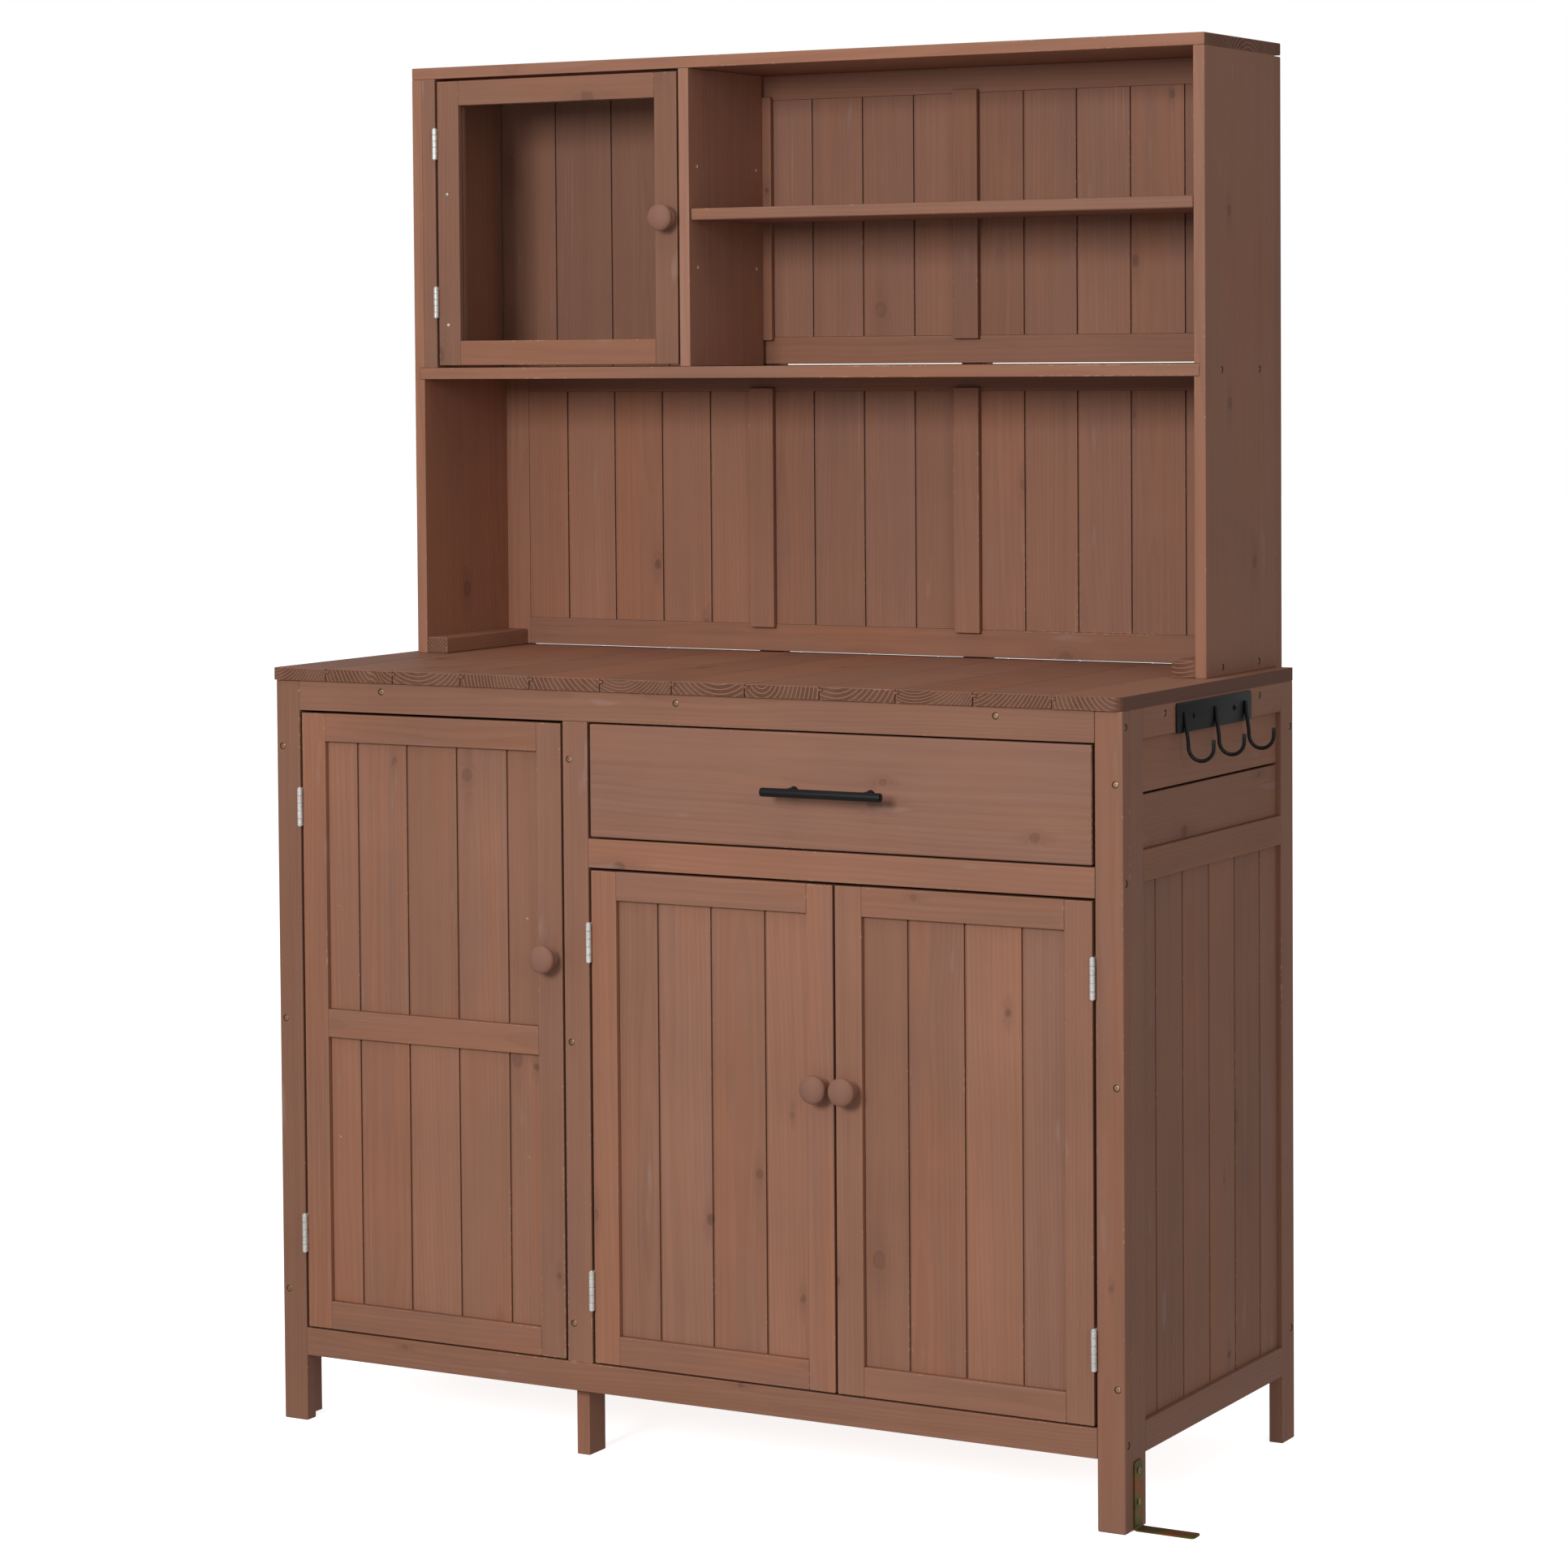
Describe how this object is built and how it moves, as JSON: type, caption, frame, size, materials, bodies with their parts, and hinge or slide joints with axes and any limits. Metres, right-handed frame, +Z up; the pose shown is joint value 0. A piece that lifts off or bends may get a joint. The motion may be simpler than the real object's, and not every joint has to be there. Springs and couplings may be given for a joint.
{
  "type": "potting bench",
  "caption": "Free-standing stained timber bench: plank worktop over hinged doors and a drawer, with a shelved hutch, glazed cupboard and side hooks.",
  "frame": {"origin": "middle of the overall envelope, on the floor", "axes": "+Z up, +Y from the front towards the back, +X to the right as seen from the front"},
  "size_m": [1.17, 0.521, 1.6175],
  "materials": {
    "frame_wood": "semi-opaque brown stain, satin",
    "plank_wood": "semi-opaque brown stain, satin",
    "board_wood": "semi-opaque brown stain, satin",
    "inner_wood": "thin brown stain over softwood",
    "knob_wood": "turned and stained",
    "zinc_steel": "zinc plated",
    "screw_steel": "yellow zinc plated",
    "yellow_zinc_steel": "yellow zinc plated, iridescent",
    "black_steel": "black powder coat",
    "catch_plastic": "matte",
    "glass": "clear sheet"
  },
  "bodies": {
    "bench": {"front_leg_left": "frame_wood", "front_leg_right": "frame_wood", "front_centre_stile": "frame_wood", "front_top_rail": "frame_wood", "front_bottom_rail": "frame_wood", "front_drawer_rail": "frame_wood", "left_side_frame": "frame_wood", "left_side_planks": "plank_wood", "right_side_frame": "frame_wood", "right_side_planks": "plank_wood", "partition_frame": "frame_wood", "partition_planks": "plank_wood", "base_back_frame": "frame_wood", "base_back_planks": "plank_wood", "floor_boards": "plank_wood", "inner_shelves": "plank_wood", "shelf_and_floor_cleats": "inner_wood", "worktop_planks": "plank_wood", "worktop_battens": "inner_wood", "drawer_runners": "inner_wood", "hutch_side_left": "board_wood", "hutch_side_right": "board_wood", "hutch_fixed_shelf": "board_wood", "hutch_divider": "board_wood", "hutch_top": "board_wood", "hutch_hinge_strip": "frame_wood", "hutch_cleats": "frame_wood", "hutch_adjustable_shelf": "board_wood", "shelf_pins": "zinc_steel", "hutch_back_frames": "frame_wood", "hutch_back_planks": "plank_wood", "hutch_back_cover_strips": "frame_wood", "hutch_rear_uprights": "frame_wood", "hook_plate": "black_steel", "hooks": "black_steel", "foot_bracket": "yellow_zinc_steel", "screws": "screw_steel", "door_catches": "catch_plastic", "hinge_frame_leaves": "zinc_steel", "hinge_pins": "zinc_steel"},
    "left_door": {"left_door_frame": "frame_wood", "left_door_planks": "plank_wood", "left_door_knob": "knob_wood", "left_door_hinge_leaves": "zinc_steel"},
    "middle_door": {"middle_door_frame": "frame_wood", "middle_door_planks": "plank_wood", "middle_door_knob": "knob_wood", "middle_door_hinge_leaves": "zinc_steel"},
    "right_door": {"right_door_frame": "frame_wood", "right_door_planks": "plank_wood", "right_door_knob": "knob_wood", "right_door_hinge_leaves": "zinc_steel"},
    "hutch_door": {"hutch_door_frame": "frame_wood", "hutch_door_glass": "glass", "hutch_door_knob": "knob_wood", "hutch_door_hinge_leaves": "zinc_steel"},
    "drawer": {"drawer_front": "board_wood", "drawer_box": "inner_wood", "drawer_bottom": "inner_wood", "drawer_handle": "black_steel"}
  },
  "joints": [
    {"name": "left_door_hinge", "type": "hinge", "parent": "bench", "child": "left_door", "pos_m": [-0.55025, -0.2308, 0.479], "axis": [0, 0, -1], "range_deg": [0, 110]},
    {"name": "middle_door_hinge", "type": "hinge", "parent": "bench", "child": "middle_door", "pos_m": [-0.15075, -0.2308, 0.396], "axis": [0, 0, -1], "range_deg": [0, 110]},
    {"name": "right_door_hinge", "type": "hinge", "parent": "bench", "child": "right_door", "pos_m": [0.48025, -0.2308, 0.396], "axis": [0, 0, 1], "range_deg": [0, 110]},
    {"name": "hutch_door_hinge", "type": "hinge", "parent": "bench", "child": "hutch_door", "pos_m": [-0.52975, 0.0382, 1.426], "axis": [0, 0, -1], "range_deg": [0, 110]},
    {"name": "drawer_slide", "type": "slide", "parent": "bench", "child": "drawer", "axis": [0, -1, 0], "range_m": [0, 0.3]}
  ]
}
